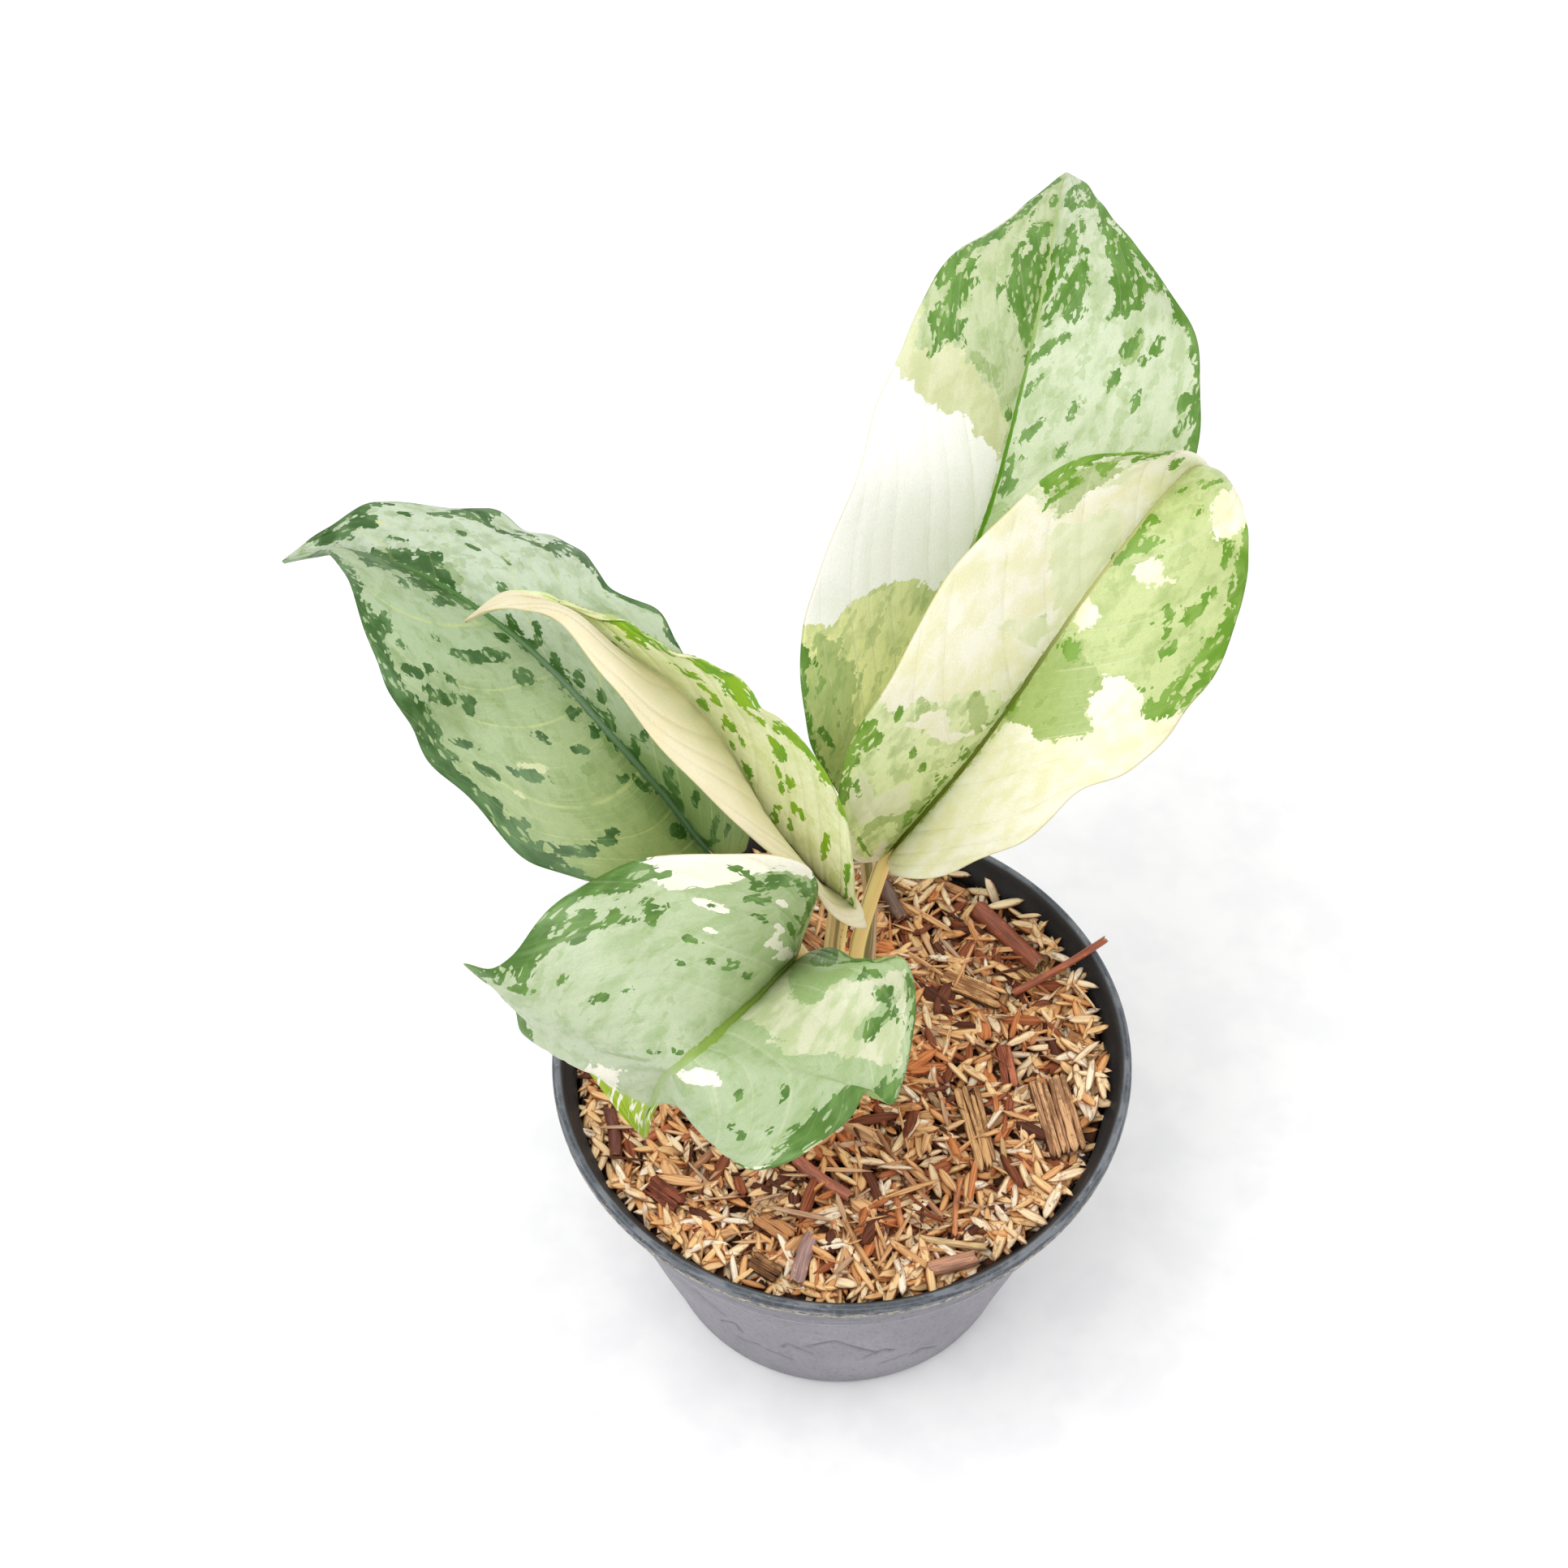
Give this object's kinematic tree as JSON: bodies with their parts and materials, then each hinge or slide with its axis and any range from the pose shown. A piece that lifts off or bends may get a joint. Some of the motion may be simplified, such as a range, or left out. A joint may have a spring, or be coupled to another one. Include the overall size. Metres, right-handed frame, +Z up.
{
  "type": "potted variegated chinese evergreen",
  "caption": "Potted foliage plant with broad waved variegated leaves on sheathed stalks, rising from a bark and husk mix in a round tapered nursery pot.",
  "frame": {"origin": "middle of the pot's flat underside, on the surface it stands on", "axes": "+Z up; +Y towards the tall back leaf, away from the viewer; +X to the viewer's right"},
  "size_m": [0.2422, 0.2501, 0.2607],
  "materials": {
    "pot_plastic": "thin faded black plastic, scuffed, with a dusty rim",
    "potting_mix": "loose dry rice husks and bark fines",
    "twigs": "dry red-brown sticks with fine cracks",
    "bark": "fibrous dry bark",
    "cane": "ringed green cane",
    "leaf_stalk": "smooth cream stalk with green stripes",
    "leaf_blade": "satin leaf, green mosaic and cream sectors"
  },
  "bodies": {
    "root": {"pot": "pot_plastic", "potting_mix": "potting_mix", "stem": "cane", "twig_hollow_red": "twigs", "twig_over_rim": "twigs", "twig_dark_knob": "twigs", "bark_back_strip": "bark", "bark_pale_slab": "bark", "bark_fibre_chunk": "bark", "bark_rim_chip": "bark", "bark_right_chunk": "bark", "bark_red_chip": "bark", "twig_red_front": "twigs", "twig_thin_long": "twigs", "twig_orange_short": "twigs", "twig_thin_right": "twigs", "twig_purple_front": "twigs", "twig_slant_front": "twigs", "twig_pale_slant": "twigs", "twig_hollow_log": "twigs", "bark_front_flake": "bark", "bark_left_flake": "bark", "twig_left_dark": "twigs", "twig_orange_left": "twigs", "twig_left_slant": "twigs", "bark_centre_flake": "bark", "bark_back_chip": "bark", "bark_rear_slab": "bark", "twig_rear_red": "twigs", "stalk_a": "leaf_stalk", "stalk_b": "leaf_stalk", "stalk_c": "leaf_stalk", "stalk_d": "leaf_stalk", "stalk_e": "leaf_stalk", "leaf_a": "leaf_blade", "leaf_b": "leaf_blade", "leaf_c": "leaf_blade", "leaf_d": "leaf_blade", "leaf_e": "leaf_blade"}
  },
  "joints": []
}
